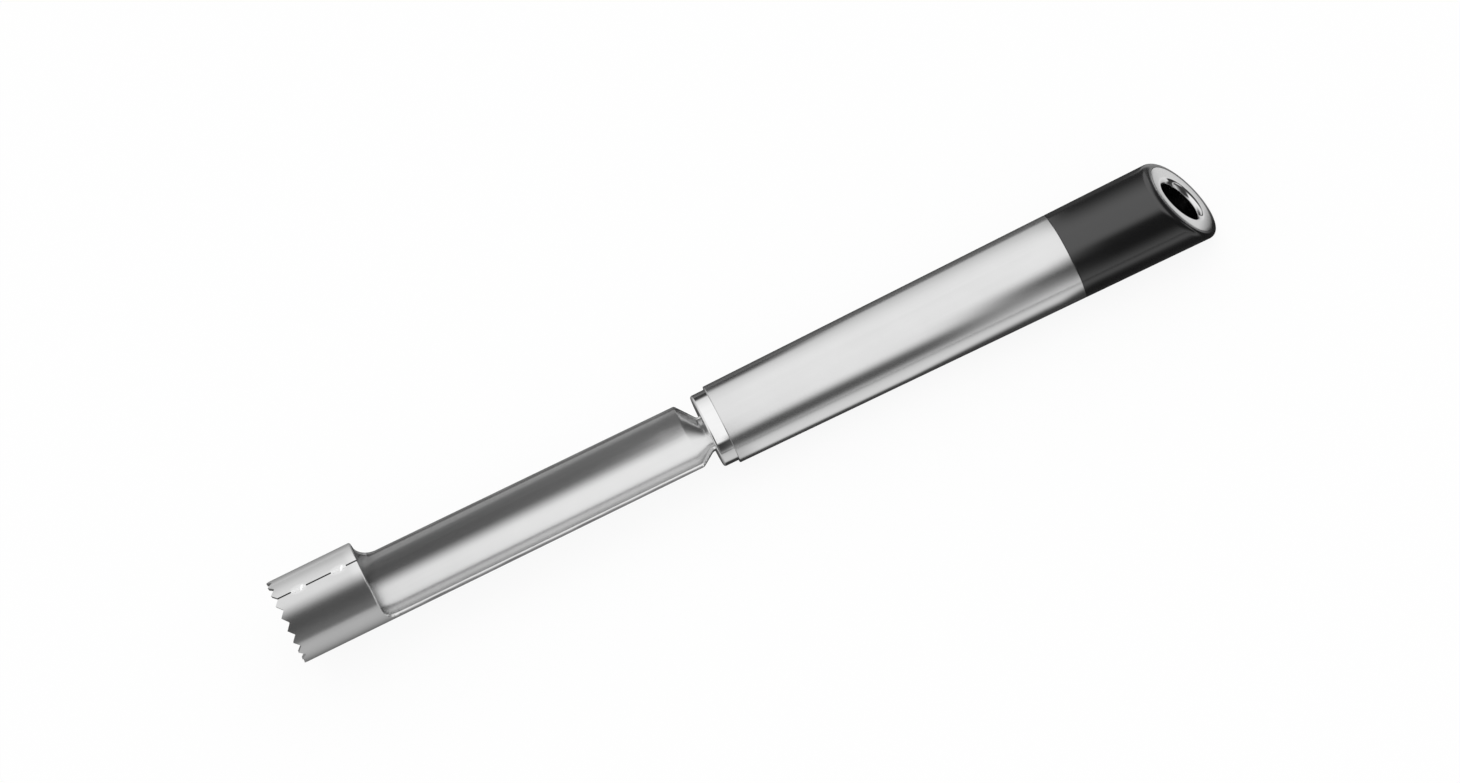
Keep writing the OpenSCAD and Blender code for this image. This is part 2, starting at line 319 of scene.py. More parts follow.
def plastic(name, tint, roughness, pores, gloss):
    """Moulded plastic with a faint grain."""
    material, tree = new_material(name)
    grain, cloud = tree.noise(scale=1500, detail=2), tree.noise(scale=70, detail=3)
    bump = tree.node("ShaderNodeBump", {"Strength": 1.0, "Distance": pores, "Height": grain})
    shader = tree.node(
        "ShaderNodeBsdfPrincipled",
        {
            "Base Color": tint_by(tree, tint, 1 - CLOUD_TONE / 2 + cloud * CLOUD_TONE),
            "Roughness": roughness + (cloud - 0.5) * CLOUD_ROUGH + (grain - 0.5) * PORE_ROUGH,
            "Specular IOR Level": gloss,
            "Normal": bump,
        },
    )
    tree.show(shader)
    return material


# Meshes


def mesh_object(name, points, faces):
    """A new object from points and faces, with smooth faces."""
    mesh = bpy.data.meshes.new(name)
    mesh.from_pydata(points, [], faces)
    mesh.validate()
    mesh.polygons.foreach_set("use_smooth", [True] * len(mesh.polygons))
    made = bpy.data.objects.new(name, mesh)
    bpy.context.scene.collection.objects.link(made)
    return made


def loft(rings, loop=False):
    """Points and faces of a skin through rings of the same number of points, with flat ends or as a loop."""
    count = len(rings[0])
    points = [p for ring in rings for p in ring]
    faces = []
    for j in range(len(rings) if loop else len(rings) - 1):
        a, b = j * count, (j + 1) % len(rings) * count
        for i in range(count):
            k = (i + 1) % count
            faces.append((a + i, b + i, b + k, a + k))
    if not loop:
        faces.append(tuple(range(count)))
        last = (len(rings) - 1) * count
        faces.append(tuple(last + i for i in reversed(range(count))))
    return points, faces


def solid(name, points, faces):
    """A new object from the points and faces of a closed skin, with its faces turned outwards."""
    made = mesh_object(name, points, faces)
    skin = bmesh.new()
    skin.from_mesh(made.data)
    bmesh.ops.recalc_face_normals(skin, faces=skin.faces)
    skin.to_mesh(made.data)
    skin.free()
    return made


def turns(count):
    """Even angles once round."""
    return [2 * pi * i / count for i in range(count)]


def round_edges(made, width, weighed=False):
    """Rounds the sharp or the weighed edges, and keeps the faces beside them flat."""
    bevel = made.modifiers.new("Edge round", "BEVEL")
    bevel.width = width
    bevel.segments = 3
    bevel.limit_method = "WEIGHT" if weighed else "ANGLE"
    bevel.angle_limit = SHARP
    bevel.use_clamp_overlap = False
    bevel.harden_normals = True


def cut(made, cutter):
    """Takes the cutter's shape out of the object."""
    hole = made.modifiers.new("Cut", "BOOLEAN")
    hole.object = cutter
    hole.operation = "DIFFERENCE"
    hole.solver = "EXACT"


def settle(made, *helpers):
    """Turns an object's modifiers into its plain mesh, and clears the helpers away."""
    bpy.context.view_layer.update()
    evaluated = made.evaluated_get(bpy.context.evaluated_depsgraph_get())
    mesh = bpy.data.meshes.new_from_object(evaluated)
    made.modifiers.clear()
    old = made.data
    made.data = mesh
    mesh.name = made.name
    bpy.data.meshes.remove(old)
    for helper in helpers:
        bpy.data.objects.remove(helper)


def finish_piece(made, material, node, sharp=True):
    """Dresses a piece, sharpens its edges, and puts it in the place of its node."""
    if sharp:
        made.data.set_sharp_from_angle(angle=SHARP)
    made.data.materials.clear()
    made.data.materials.append(material)
    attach(made, BODY)
    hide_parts(node)


# Blade


def eased(t, ease=0.15):
    """Share of the shoulder's narrowing that is reached at t: straight, with eased ends."""
    if t < ease:
        return t * t / (2 * ease * (1 - ease))
    if t > 1 - ease:
        return 1 - (1 - t) ** 2 / (2 * ease * (1 - ease))
    return (t - ease / 2) / (1 - ease)


def between(a, b, t):
    """Value at a share t of the way from a to b."""
    return a + (b - a) * t


def spread(low, high, count):
    """count + 1 even values from low to high."""
    return [between(low, high, i / count) for i in range(count + 1)]


def rounding(radius, count):
    """Points of a rounded corner, by their depths below its two sides: the first grows, the second falls."""
    return [(radius * (1 - cos(a)), radius * (1 - sin(a))) for a in spread(0, pi / 2, count)]


class BladeSection:
    """The sheet's section at a place along the blade: its radius, its middle and its rim."""

    def __init__(self, p, x):
        self.p = p
        self.x = x
        trough_x = p.ring_len + p.trough_len
        t = min(max((x - trough_x) / p.shoulder_len, 0), 1)
        self.r = between(p.ring_r, p.neck_r, eased(t))
        self.mid = self.r - p.ring_r
        if x > trough_x:
            self.rim = -between(p.rim_rear, p.neck_rim, eased(t))
        else:
            self.rim = -between(p.rim_front, p.rim_rear, (x - p.ring_len) / p.trough_len)
            back = p.ring_len + p.rim_fillet - x
            if back > 0:
                arc = p.rim_fillet - sqrt(max(p.rim_fillet**2 - back**2, 0))
                self.rim = max(self.rim, arc - p.rim_front)
        nudge = 0.01
        rise = eased(min(t + nudge, 1)) - eased(max(t - nudge, 0))
        inside = 0 < t < 1
        self.slope = (p.ring_r - p.neck_r) / p.shoulder_len * rise / (2 * nudge) if inside else 0

    def end_angle(self):
        """Angle of the rim from the bottom of the sheet. The rim is cut square to the sheet."""
        return acos(max(-1, min(1, (self.mid - self.rim) / self.r)))

    def point(self, inner, angle):
        """Point of one side at an angle from the bottom. Across a slope the sheet keeps its thickness."""
        r = self.r
        if inner:
            r -= self.p.sheet * sqrt(1 + (self.slope * (1 - cos(angle))) ** 2)
        return (self.x, r * sin(angle), self.mid - r * cos(angle))


# Places of the mesh's columns over half a tooth, as shares of the pitch
TOOTH_SHARES = (0, 0.02, 0.04, 0.06, 0.12, 0.2, 0.28, 0.36, 0.44, 0.5)
CORNER_FADE = radians(12)
WELD_COLUMNS = radians(170)


def ring_angles(p, inner):
    """Angles round the ring from its bottom: fine at each tooth's tip and root, and at the rim's corner."""
    r = p.ring_r - p.sheet if inner else p.ring_r
    pitch = 360 / p.teeth
    offsets = [s * pitch for s in TOOTH_SHARES] + [(1 - s) * pitch for s in reversed(TOOTH_SHARES[1:-1])]
    half = [k * pitch + o for k in range(p.teeth // 2) for o in offsets]
    half = [radians(a) for a in half[1:]]
    rise = p.rim_fillet - p.rim_front
    corner, outer_corner = (pi / 2 + asin(rise / at) for at in (r, p.ring_r))
    place = sum(a < outer_corner for a in half)
    half.insert(place, corner)
    half.append(pi - asin(p.seam_gap / 2 / r))
    return [-a for a in reversed(half)] + [0] + half, place


def ring_rows(p):
    """Places of the ring's rows of points, with a close pair at each end of a weld."""
    hair = 0.01 * MM
    rows = spread(0, p.tooth_band, 5)
    half = p.weld_len / 2
    for middle in weld_middles(p):
        rows += [middle + off for off in (-half - hair, -half + hair, 0, half - hair, half + hair)]
    rows += [(p.weld_front + p.ring_len - p.weld_rear) / 2]
    rows += [p.ring_len - depth for _, depth in rounding(p.rear_round, 5)]
    return sorted(rows)


def rear_dip(p, x, around, corner):
    """How far the ring's skin is rounded down towards its rear edge, fading out at the rim's corner."""
    back = min(max((x - p.ring_len) / p.rear_round + 1, 0), 1)
    fade = min(max((abs(around) - corner) / CORNER_FADE, 0), 1)
    return p.rear_round * (1 - sqrt(1 - back * back)) * fade


def in_weld(p, x):
    """Whether a place along X lies in a weld."""
    return any(abs(x - middle) < p.weld_len / 2 for middle in weld_middles(p))


def blade_rows(p, inner):
    """Rows of points of one side of the sheet, each with the column that it starts at."""
    angles, place = ring_angles(p, inner)
    r = p.ring_r - p.sheet if inner else p.ring_r
    middle = len(angles) // 2
    first, last = middle - place - 1, middle + place + 1
    corner = angles[last]
    weld_edge = pi - asin(p.weld_w / 2 / r)
    rows = []
    for x in ring_rows(p):
        row = []
        for a in angles:
            if in_weld(p, x) and abs(a) > WELD_COLUMNS:
                way = (abs(a) - WELD_COLUMNS) / (angles[-1] - WELD_COLUMNS)
                a = copysign(between(WELD_COLUMNS, weld_edge, way), a)
            at = r if inner else r - rear_dip(p, x, a, corner)
            row.append((x, at * sin(a), -at * cos(a)))
        rows.append((0, row))
    trough_x = p.ring_len + p.trough_len
    neck_x = trough_x + p.shoulder_len
    fillet = [p.ring_len + depth for depth, _ in rounding(p.rim_fillet, 18)[1:]]
    places = (
        fillet
        + spread(fillet[-1], trough_x, 16)[1:]
        + spread(trough_x, neck_x, 24)[1:]
        + spread(neck_x, p.tang_end, 8)[1:]
    )
    for x in places:
        section = BladeSection(p, x)
        end = section.end_angle()
        rows.append((first, [section.point(inner, a / corner * end) for a in angles[first : last + 1]]))
    return rows


def sheet_faces(rows):
    """Faces between rows of points that each start at their own column."""
    starts, total = [], 0
    for _, row in rows:
        starts.append(total)
        total += len(row)
    faces = []
    for j in range(len(rows) - 1):
        (a_first, a_row), (b_first, b_row) = rows[j], rows[j + 1]
        low = max(a_first, b_first)
        high = min(a_first + len(a_row), b_first + len(b_row)) - 1
        for c in range(low, high):
            a, b = starts[j] + c - a_first, starts[j + 1] + c - b_first
            faces.append((a, b, b + 1, a + 1))
    return faces, total


def blade_mesh(p):
    """The sheet's two sides, joined along every free edge."""
    outer, inner = blade_rows(p, False), blade_rows(p, True)
    faces, total = sheet_faces(outer)
    sides = dict.fromkeys(side for face in faces for side in zip(face, face[1:] + face[:1]))
    walls = [(b, a, a + total, b + total) for a, b in sides if (b, a) not in sides]
    back = [tuple(total + v for v in reversed(face)) for face in faces]
    points = [q for _, row in outer + inner for q in row]
    return points, faces + back + walls


def tooth_tree():
    """Geometry Nodes that draw the ring's front edge out into pointed teeth with round roots."""
    group = bpy.data.node_groups.new("Tooth rule", "GeometryNodeTree")
    sockets = {"Geometry": "NodeSocketGeometry", "Teeth": "NodeSocketInt", "Material": "NodeSocketMaterial"}
    for name in ("Tooth Height", "Root Radius", "Ring Radius", "Band"):
        sockets[name] = "NodeSocketFloat"
    for name, kind in sockets.items():
        group.interface.new_socket(name, in_out="INPUT", socket_type=kind)
    group.interface.new_socket("Geometry", in_out="OUTPUT", socket_type="NodeSocketGeometry")
    tree = Tree(group)
    entry = group.nodes.new("NodeGroupInput")
    given = {name: Value(tree, entry.outputs[name]) for name in sockets}
    height, root, radius = given["Tooth Height"], given["Root Radius"], given["Ring Radius"]
    x, y, z = tree.parts(tree.node("GeometryNodeInputPosition"))
    pitch = 2 * pi / given["Teeth"]
    angle = y.math("ARCTAN2", z)
    from_valley = angle - (angle / pitch).math("ROUND") * pitch
    out = (y * y + z * z).math("SQRT")
    across = abs(out * from_valley.math("SINE"))
    half = pitch * radius / 2
    steep = half.math("ARCTAN2", height)
    side = half.math("ARCTAN2", height + root * (1 / steep.math("SINE") - 1))
    straight = root * (1 / side.math("SINE") - 1) - across / side.math("TANGENT")
    curved = (root * root - across * across).math("MAXIMUM", 0).math("SQRT") - root
    edge = tree.choose(across < root * side.math("COSINE"), curved, straight)
    edge = edge.math("MAXIMUM", 0 - height)
    fade = (1 - x / given["Band"]).math("MAXIMUM", 0)
    offset = tree.node("ShaderNodeCombineXYZ", [edge * fade])
    moved = tree.node("GeometryNodeSetPosition", {"Geometry": given["Geometry"], "Offset": offset})
    real = tree.node("GeometryNodeRealizeInstances", {"Geometry": moved})
    dressed = tree.node("GeometryNodeSetMaterial", {"Geometry": real, "Material": given["Material"]})
    tree.node("NodeGroupOutput", {"Geometry": dressed})
    return group


def add_teeth(made, p, material):
    """Gives the blade the tooth rule, with its sizes."""
    modifier = made.modifiers.new("Teeth", "NODES")
    modifier.node_group = tooth_tree()
    given = {
        "Teeth": p.teeth,
        "Tooth Height": p.tooth_h,
        "Root Radius": p.tooth_root_r,
        "Ring Radius": p.ring_r,
        "Band": p.tooth_band,
        "Material": material,
    }
    for item in modifier.node_group.interface.items_tree:
        if item.in_out == "INPUT" and item.name in given:
            modifier[item.identifier] = given[item.name]


def weigh_rims(made, start):
    """Marks the sharp edges of the trough's rims behind a place along X."""
    sides = {}
    for polygon in made.data.polygons:
        for key in polygon.edge_keys:
            sides.setdefault(key, []).append(polygon.normal)
    weights = []
    for edge in made.data.edges:
        first, second = sides[edge.key]
        behind = min(made.data.vertices[v].co.x for v in edge.vertices) > start
        weights.append(float(behind and first.angle(second, 0) > SHARP))
    made.data.attributes.new("bevel_weight_edge", "FLOAT", "EDGE").data.foreach_set("value", weights)


def weld_middles(p):
    """Places of the two welds' middles along X."""
    return (p.weld_front, p.ring_len - p.weld_rear)


# Marks on the blade: how much painted shade darkens its far rim and far edge, the seam's tone, how much
# paler the sheet is round a weld, and how bright the painted highlight across a weld is
FAR_RIM_SHADE, FAR_EDGE_SHADE, SEAM_TONE, HALO_TONE, WELD_GLINT_TONE = 0.4, 0.5, 0.15, 0.18, 0.5
FAR_RIM_LOW, FAR_RIM_HIGH, EDGE_BAND = -6.6 * MM, -4.5 * MM, 0.08 * MM
# A painted highlight's place and slant across a weld, and its half width and length, as shares of the weld's
# size
MARK_ALONG, MARK_SLANT, MARK_HALF, MARK_REACH = 0.2, 0.5, 0.36, 0.7
SEAM_HALF, HALO_ACROSS, HALO_ALONG, WELD_TONE = 1.1, 0.7, 1.5, 1.1


def painted_weld_glints(p, x, y):
    """A slanted, painted highlight across each weld."""
    mark = 0
    for middle in weld_middles(p):
        off = abs(x - middle - p.weld_len * MARK_ALONG - y * MARK_SLANT) / (p.weld_w * MARK_HALF)
        mark = (1 - off * off).math("MAXIMUM", 0) + mark
    return mark * (abs(y) < p.weld_w * MARK_REACH)


def blade_marks(tree, tone):
    """Dark cut edges along the seam, painted shade on the far rim and far edge, paler ground sheet round the
    two welds, and a painted highlight across each weld.
    """
    p = sizes("blade")
    x, y, z = tree.parts(tree.place())
    top = z > 0
    behind = p.ring_len + p.rim_fillet / 2
    # Painted shade: the far rim's cut face and the far edge of the trough are darkened.
    far_rim_shade = (y > 0) * ramp(z, FAR_RIM_LOW, FAR_RIM_HIGH) * ramp(x, p.ring_len, behind)
    rim = p.rim_front + (x - p.ring_len) * ((p.rim_rear - p.rim_front) / p.trough_len)
    far_edge_shade = (y > 0) * ((z + rim) > -EDGE_BAND) * (x > behind)
    tone = tone * (1 - FAR_RIM_SHADE * far_rim_shade) * (1 - FAR_EDGE_SHADE * far_edge_shade)
    seam = (abs(y) < p.seam_gap * SEAM_HALF) * top
    for middle in weld_middles(p):
        across, along = y / p.weld_w * HALO_ACROSS, (x - middle) / p.weld_len * HALO_ALONG
        halo = (1 - across * across - along * along).math("MAXIMUM", 0)
        tone = tone + halo * top * HALO_TONE
    # Painted highlight across each weld, added to the sheet's tone.
    return tree.choose(seam, SEAM_TONE, tone + painted_weld_glints(p, x, y) * top * WELD_GLINT_TONE)


def weld_marks(tree, tone):
    """The weld's paler tone and a slanted, painted highlight across each weld, on its own steel."""
    p = sizes("blade")
    x, y, _ = tree.parts(tree.place())
    return tone * WELD_TONE + painted_weld_glints(p, x, y) * WELD_GLINT_TONE


class CORER_OT_blade(bpy.types.Operator):
    """Build the toothed ring, trough, neck and tang from one bent sheet"""

    bl_idname = "corer.blade"
    bl_label = "Blade"

    def execute(self, context):
        p = sizes("blade")
        material = steel(
            "Polished blade steel", sizes("finishes").blade, 0.2,
            streak=0.06, grain=0.02, depth=0.2e-5, wave=1.2e-5, marks=blade_marks,
        )
        made = solid("blade", *blade_mesh(p))
        weigh_rims(made, p.ring_len + p.rim_fillet * 0.05)
        add_teeth(made, p, material)
        round_edges(made, p.rim_round, weighed=True)
        settle(made)
        finish_piece(made, material, "corer_blade")
        return {"FINISHED"}


class CORER_OT_welds(bpy.types.Operator):
    """Build the two ground welds in the ring's seam"""

    bl_idname = "corer.welds"
    bl_label = "Welds"

    def execute(self, context):
        p = sizes("blade")
        points, faces = [], []
        for middle in weld_middles(p):
            rings = []
            for x in spread(middle - p.weld_len / 2, middle + p.weld_len / 2, 24):
                t = (x - middle) / (p.weld_len / 2)
                ring = []
                for s in spread(-1, 1, 10):
                    ripple = 0.6 + 0.4 * cos(t * 14 + s * 2)
                    r = p.ring_r - p.weld_crown * (1 - t**6) * (1 - s**4) * ripple
                    a = s * asin((p.weld_w / 2 + p.weld_crown) / p.ring_r)
                    ring.append((x, r * sin(a), r * cos(a)))
                r = p.ring_r - p.sheet
                edge = asin(p.weld_w / 2 / r)
                ring += [(x, r * sin(a), r * cos(a)) for a in spread(edge, -edge, 10)]
                rings.append(ring)
            more_points, more_faces = loft(rings)
            faces += [tuple(v + len(points) for v in face) for face in more_faces]
            points += more_points
        made = solid("welds", points, faces)
        material = steel(
            "Ground weld steel", sizes("finishes").weld, 0.28,
            streak=0.1, grain=0.08, depth=0.4e-5, marks=weld_marks,
        )
        finish_piece(made, material, "seam_welds")
        return {"FINISHED"}


# Grip


def half_width(p, x):
    """Half the grip's width at a place along X."""
    return between(p.half_front, p.half_rear, (x - p.front_x) / (p.rear_x - p.front_x))


def oval(p, x, inset=0.0, lean=0.0, count=160):
    """Oval section of the grip, inset from its skin. A lean tilts it like the end face."""
    flare = (p.half_rear - p.half_front) / (p.rear_x - p.front_x)
    ring = []
    for a in turns(count):
        up = (half_width(p, x) * p.flat - inset) * sin(a)
        up /= 1 + flare * p.flat * tan(lean) * sin(a)
        at = x - up * tan(lean)
        ring.append((at, (half_width(p, at) - inset) * cos(a), up - p.drop))
    return ring


def neck_slot(blade, grip, x0, x1):
    """Cutter for the arc-shaped slot that the neck passes through."""
    section = BladeSection(blade, blade.tang_end)
    arc = []
    for gap, turn in ((grip.blade_fit, 1), (-blade.sheet - grip.blade_fit, -1)):
        r = section.r + gap
        end = acos((section.mid - section.rim - grip.blade_fit) / r) * turn
        arc += [(r * sin(a), section.mid - r * cos(a)) for a in spread(-end, end, 40)]
    return solid("neck_slot", *loft([[(x, *point) for point in arc] for x in (x0, x1)]))


class CORER_OT_collar(bpy.types.Operator):
    """Build the polished collar at the front of the grip"""

    bl_idname = "corer.collar"
    bl_label = "Collar"

    def execute(self, context):
        p = sizes("grip")
        inset = p.wall + p.fit
        rings = [(p.collar_x + depth, inset + more) for depth, more in rounding(p.collar_edge_r, 10)]
        flat_from = p.collar_x + p.collar_edge_r
        rings += [(x, inset) for x in (flat_from + 0.02 * MM, flat_from + 0.1 * MM, p.collar_end)]
        rings = [oval(p, at, more) for at, more in rings]
        made = solid("collar", *loft(rings))
        slot = neck_slot(sizes("blade"), p, p.collar_x - MM, p.collar_end + MM)
        cut(made, slot)
        settle(made, slot)
        material = steel(
            "Mirror collar steel", sizes("finishes").collar, 0.08, streak=0.03, grain=0.01, depth=0.05e-5
        )
        finish_piece(made, material, "front_collar")
        return {"FINISHED"}


class CORER_OT_shell(bpy.types.Operator):
    """Build the satin steel shell of the grip"""

    bl_idname = "corer.shell"
    bl_label = "Shell"

    def execute(self, context):
        p = sizes("grip")
        rings = [oval(p, x) for x in spread(p.front_x, p.rear_x, 24)]
        rings += [oval(p, x, p.wall) for x in spread(p.rear_x, p.front_x, 12)]
        made = solid("shell", *loft(rings, loop=True))
        round_edges(made, p.edge_round)
        settle(made)
        material = steel(
            "Satin shell steel", sizes("finishes").shell, 0.21, streak=0.03, grain=0.02, depth=0.03e-5
        )
        finish_piece(made, material, "grip_shell", sharp=False)
        return {"FINISHED"}


# Cap and eyelet


def face_frame():
    """Matrix of the cap's slanted face, with +Z out of the face and +X down the slant."""
    grip, cap = sizes("grip"), sizes("cap")
    turn = Matrix.Rotation(pi / 2 - cap.slant, 4, "Y")
    return Matrix.Translation((grip.rear_x + cap.length, 0, -grip.drop)) @ turn


def face_ring(down, across, z, count=192):
    """Oval over the slanted face, from its two radii and its height, in the tool's own frame."""
    matrix = face_frame()
    return [tuple(matrix @ Vector((down * cos(t), across * sin(t), z))) for t in turns(count)]


def seat_cutter(eyelet, cap):
    """Cutter for the eyelet's round seat and the hanging hole through the cap."""
    depth = eyelet.lip_r + eyelet.tube + eyelet.fit
    sunk = eyelet.wall + eyelet.fit
    outer = eyelet.hole_r + sunk
    profile = [(eyelet.hole_r, -2 * cap.length), (eyelet.hole_r, -depth), (outer, -depth)]
    profile += [(outer + out, -sunk - deep) for out, deep in rounding(eyelet.lip_r - sunk, 8)]
    profile.append((eyelet.hole_r + eyelet.lip_r, MM))
    return solid("seat_cutter", *loft([face_ring(r, r, z, count=144) for r, z in profile]))


def flange_cutter(eyelet):
    """Cutter for the recess that the eyelet's oval flange lies in."""
    half_h, half_w = eyelet.half_h + eyelet.fit, eyelet.half_w + eyelet.fit
    rings = [face_ring(half_h, half_w, z) for z in (-eyelet.wall - eyelet.fit, MM)]
    return solid("flange_cutter", *loft(rings))


class CORER_OT_cap(bpy.types.Operator):
    """Build the black cap with its grooved spigot, slanted face and hanging hole"""

    bl_idname = "corer.cap"
    bl_label = "Cap"

    def execute(self, context):
        p, cap, eyelet = sizes("grip"), sizes("cap"), sizes("eyelet")
        inset = p.wall + p.fit
        spigot = p.rear_x - cap.front_x
        rings = [(cap.front_x, inset)]
        for x in (p.rear_x - spigot * 2 / 3, p.rear_x - spigot / 3):
            for side, deep in ((-1, 0), (-1, 1), (1, 1), (1, 0)):
                rings.append((x + side * cap.groove_w / 2, inset + deep * cap.groove_d))
        rings.append((p.rear_x, inset))
        rings = [oval(p, at, more) for at, more in rings]
        soft = cap.parting_round
        rings += [oval(p, p.rear_x + depth, more) for depth, more in rounding(soft, 5)]
        face_x = p.rear_x + cap.length
        body = face_x - cap.edge_r / cos(cap.slant)
        by_parting, by_edge = (0.002, 0.01), 0.97
        for t in (*by_parting, *spread(0, 1, 10)[1:-1], by_edge):
            rings.append(oval(p, between(p.rear_x + soft, body, t), 0, cap.slant * t))
        for more, depth in rounding(cap.edge_r, 14):
            rings.append(oval(p, face_x - depth / cos(cap.slant), more, cap.slant))
        made = solid("cap", *loft(rings))
        recess, seat = flange_cutter(eyelet), seat_cutter(eyelet, cap)
        cut(made, recess)
        cut(made, seat)
        settle(made, recess, seat)
        material = plastic("Black cap plastic", sizes("finishes").cap, 0.18, pores=0.05e-5, gloss=0.85)
        finish_piece(made, material, "end_cap")
        return {"FINISHED"}


def lip_polish(tree):
    """Mask of the eyelet's polished lip and tube, inside the flat flange."""
    eyelet = sizes("eyelet")
    x, y, z = tree.parts(tree.place())
    middle = face_frame()
    down = middle.col[0]
    along = (x - middle.translation.x) * down.x + (z - middle.translation.z) * down.z
    return (along * along + y * y) < (eyelet.hole_r + eyelet.lip_r * 0.95) ** 2


class CORER_OT_eyelet(bpy.types.Operator):
    """Build the steel eyelet with its oval flange, rolled lip and tube"""

    bl_idname = "corer.eyelet"
    bl_label = "Eyelet"

    def execute(self, context):
        p = sizes("eyelet")
        bend = p.hole_r + p.lip_r
        soft = p.edge_round
        flange = [(1, 0, -p.wall), (1, 0, -soft)]
        flange += [(1, -inward, -depth) for inward, depth in rounding(soft, 4)[1:]]
        flange += [(t, -soft * t, 0) for t in (0.66, 0.33)]
        lip = [(p.hole_r + out, -depth) for depth, out in rounding(p.lip_r, 14)]
        lip += [(p.hole_r, -p.lip_r - p.tube), (p.hole_r + p.wall, -p.lip_r - p.tube)]
        back = reversed(rounding(p.lip_r - p.wall, 8))
        lip += [(p.hole_r + p.wall + out, -p.wall - depth) for depth, out in back]
        rings = []
        for t, grow, z in flange:
            down, across = between(bend, p.half_h + grow, t), between(bend, p.half_w + grow, t)
            rings.append(face_ring(down, across, z))
        rings += [face_ring(r, r, z) for r, z in lip]
        made = solid("eyelet", *loft(rings, loop=True))
        material = steel(
            "Satin eyelet steel", sizes("finishes").eyelet, 0.2,
            streak=0.04, grain=0.05, depth=0.05e-5, polish=lip_polish,
        )
        finish_piece(made, material, "hang_eyelet")
        return {"FINISHED"}


class CORER_OT_hidden(bpy.types.Operator):
    """Dress the holder and the cross pin inside the grip"""

    bl_idname = "corer.hidden"
    bl_label = "Holder and pin"

    def execute(self, context):
        tints = sizes("finishes")
        dressed = {
            "tang_holder": plastic("Holder plastic", tints.holder, 0.5, pores=1e-5, gloss=0.5),
            "tang_pin": steel("Drawn pin steel", tints.pin, 0.3, streak=0.1, grain=0.05, depth=0.5e-5),
        }
        for node, material in dressed.items():
            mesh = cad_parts[node].data
            mesh.materials.clear()
            mesh.materials.append(material)
        return {"FINISHED"}


# Studio


def view_axes(studio):
    """Directions across the tool in the picture: up in the picture, and towards the camera."""
    e = studio.elevation
    return Vector((0, sin(e), cos(e))), Vector((0, -cos(e), sin(e)))


def add_camera(studio):
    """Camera at the photo's viewing angle."""
    up, to_camera = view_axes(studio)
    along = Vector((1, 0, 0))
    place = along * studio.foot_x + up * studio.aim_up + to_camera * studio.distance
    aim = along * studio.aim_x + up * studio.aim_up
    back = (place - aim).normalized()
    picture_up = along * sin(studio.roll) + up * cos(studio.roll)
    right = picture_up.cross(back).normalized()
    picture_up = back.cross(right)
    turn = Matrix((right, picture_up, back)).transposed()
    data = bpy.data.cameras.new("Camera")
    data.sensor_width = 36
    data.lens = data.sensor_width * (place - aim).length / studio.view_width
    data.clip_start, data.clip_end = 0.01, 20
    camera = bpy.data.objects.new("Camera", data)
    camera.matrix_world = Matrix.Translation(place) @ turn.to_4x4()
    bpy.context.scene.collection.objects.link(camera)
    bpy.context.scene.camera = camera


# Painted shadow on the floor that the steel sees: its level next to the tool, and how much it gains further
# off
BLADE_FLOOR, GRIP_FLOOR = (0.15, 0.5), (0.05, 0.87)
BLADE_FAR_FLOOR, GRIP_FAR_FLOOR = (0.12, 0.62), (0.03, 0.25)
# Spans along X, in metres, over which it changes: at the neck, at the collar and behind the cap
NECK_SPAN, COLLAR_SPAN, PALE_SPAN = (0.108, 0.112), (0.116, 0.122), (0.266, 0.271)
# Half the blade, how far the painted shadow reaches, in metres, and how much further beside the grip over
# which spans
HALF_BLADE, BLADE_REACH, GRIP_REACH, FAR_REACH = 0.006, 0.01, 0.0025, 0.08
REACH_GAINS = ((0.001, 0.12, 0.163), (0.008, 0.163, 0.2), (0.015, 0.205, 0.215))
# The level's share at the collar, and how far off it has halved
COLLAR_SHARE, NEAR_FADE = 0.72, 0.2
# The painted pool of light on the floor behind the cap: where it begins before the cap's end, its reach,
# half the width of its edge and its level
PALE_LEAD, PALE_REACH, PALE_EDGE, PALE_LEVEL = 0.006, 0.008, 0.003, 1.15


def lit(dark, gain, value, reach=1):
    """Level that climbs from the dark with a value, and nears its whole gain well past its reach."""
    return dark + gain * value / (value + reach)


def painted_floor_in_gloss(tree):
    """Brightness of the floor as the steel sees it: a painted shadow beside the tool, pale a little further
    off, and a painted pool of light behind the cap.
    """
    x, y, _ = tree.parts(tree.place())
    on_blade = 1 - ramp(x, *NECK_SPAN)
    beside = (abs(y) - HALF_BLADE).math("MAXIMUM", 0) / BLADE_REACH
    off = (abs(y) - SHELL_HIGH.y).math("MAXIMUM", 0)
    reach = GRIP_REACH
    for gain, *span in REACH_GAINS:
        reach = reach + gain * ramp(x, *span)
    grip = lit(*GRIP_FLOOR, (off / reach) ** 4) * (COLLAR_SHARE + (1 - COLLAR_SHARE) * ramp(x, *COLLAR_SPAN))
    # Painted shadow of the tool on the floor, seen only in gloss.
    near = tree.choose(on_blade, lit(*BLADE_FLOOR, beside * beside), grip) / (1 + abs(y) / NEAR_FADE)
    blade_far, grip_far = (lit(*look, off, FAR_REACH) for look in (BLADE_FAR_FLOOR, GRIP_FAR_FLOOR))
    # Painted pool of light on the floor past the cap's end, seen only in gloss.
    past_end = (x - CAP_HIGH.x + PALE_LEAD).math("MAXIMUM", 0)
    pale = lit(0, PALE_LEVEL, past_end, PALE_REACH) * ramp(y, -PALE_EDGE, PALE_EDGE)
    pale = pale * (1 - ramp(x, *PALE_SPAN))
    return tree.choose(y < 0, near, tree.choose(on_blade, blade_far, grip_far)).math("MAXIMUM", pale)


